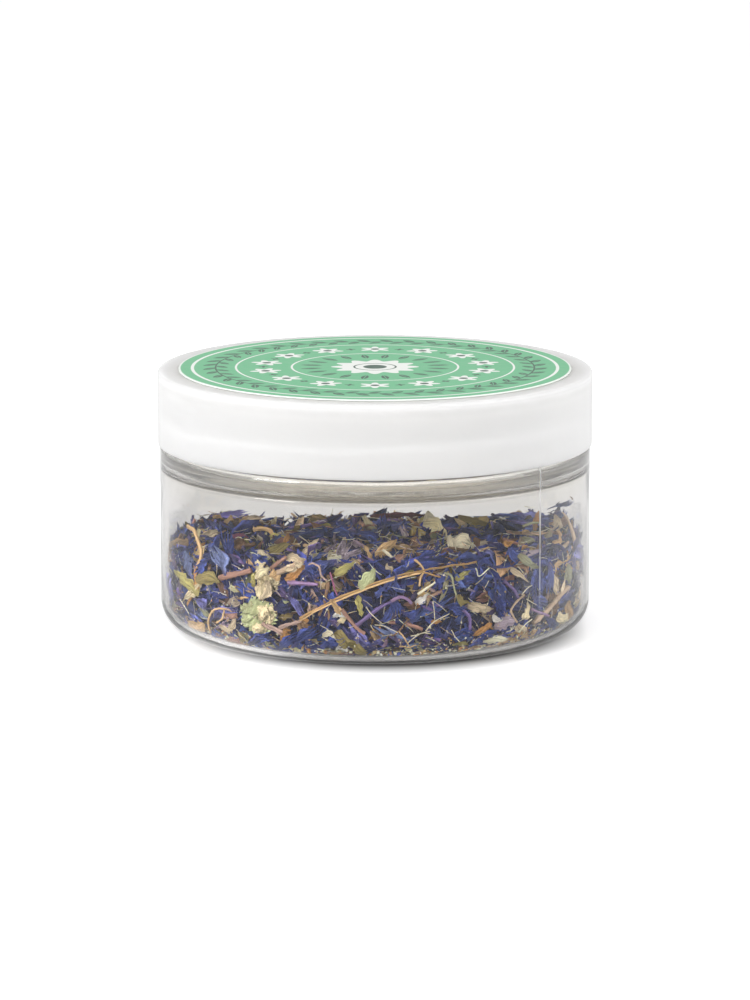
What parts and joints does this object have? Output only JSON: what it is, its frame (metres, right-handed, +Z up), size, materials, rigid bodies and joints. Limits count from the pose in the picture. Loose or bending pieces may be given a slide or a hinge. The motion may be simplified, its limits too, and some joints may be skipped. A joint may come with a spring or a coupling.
{
  "type": "jar of dried cornflowers",
  "caption": "Low, wide, clear plastic jar with a smooth white screw lid and a round lid label, half full of dried cornflower florets.",
  "frame": {"origin": "centre of the jar's base, in the plane that it stands on", "axes": "+Z up along the jar's axis, which the lid turns about; -Y is the front, where the long straw lies against the wall"},
  "size_m": [0.092, 0.092, 0.0555],
  "materials": {
    "clear_plastic": "clear, gloss",
    "white_plastic": "satin",
    "label_paper": "satin",
    "liner_foam": "matte",
    "dried_florets": "matte",
    "dried_stalk": "matte",
    "dried_bract": "matte",
    "seed_head": "matte"
  },
  "bodies": {
    "jar": {"jar": "clear_plastic", "florets": "dried_florets", "long_straw": "dried_stalk", "short_stalk": "dried_stalk", "curled_stalk": "dried_stalk", "flower_base": "dried_bract", "bract_cluster": "dried_bract", "seed_head": "seed_head"},
    "liner": {"liner": "liner_foam"},
    "lid": {"lid": "white_plastic", "label": "label_paper"}
  },
  "joints": [
    {"name": "lid_rise", "type": "slide", "parent": "jar", "child": "liner", "axis": [0, 0, 1], "range_m": [0, 0.00508]},
    {"name": "lid_turn", "type": "hinge", "parent": "liner", "child": "lid", "pos_m": [0, 0, 0.0396], "axis": [0, 0, 1], "range_deg": [0, 360]}
  ],
  "couplings": [
    {"joint": "lid_rise", "follows": "lid_turn", "m_per_rad": 0.0008085}
  ]
}
